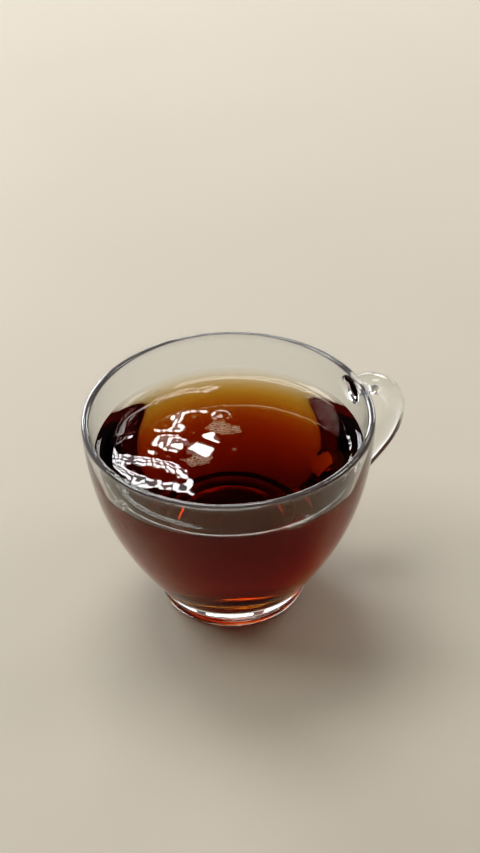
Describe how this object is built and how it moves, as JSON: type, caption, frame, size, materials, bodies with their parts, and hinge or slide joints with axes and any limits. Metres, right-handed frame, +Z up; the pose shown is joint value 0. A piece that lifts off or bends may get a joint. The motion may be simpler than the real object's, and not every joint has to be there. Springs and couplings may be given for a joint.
{
  "type": "glass cup of tea",
  "caption": "Clear pressed-glass cup with one looped handle and a small solid foot, filled with black tea to a little under its brim.",
  "frame": {"origin": "on the bowl's axis, in the plane that the foot ring stands on", "axes": "+Z up along the bowl's axis, +X towards the handle"},
  "size_m": [0.1038, 0.086, 0.066],
  "materials": {
    "clear_glass": "fire polished, clear",
    "black_tea": "clear red-brown liquid"
  },
  "bodies": {
    "root": {"glass_cup": "clear_glass", "tea": "black_tea"}
  },
  "joints": []
}
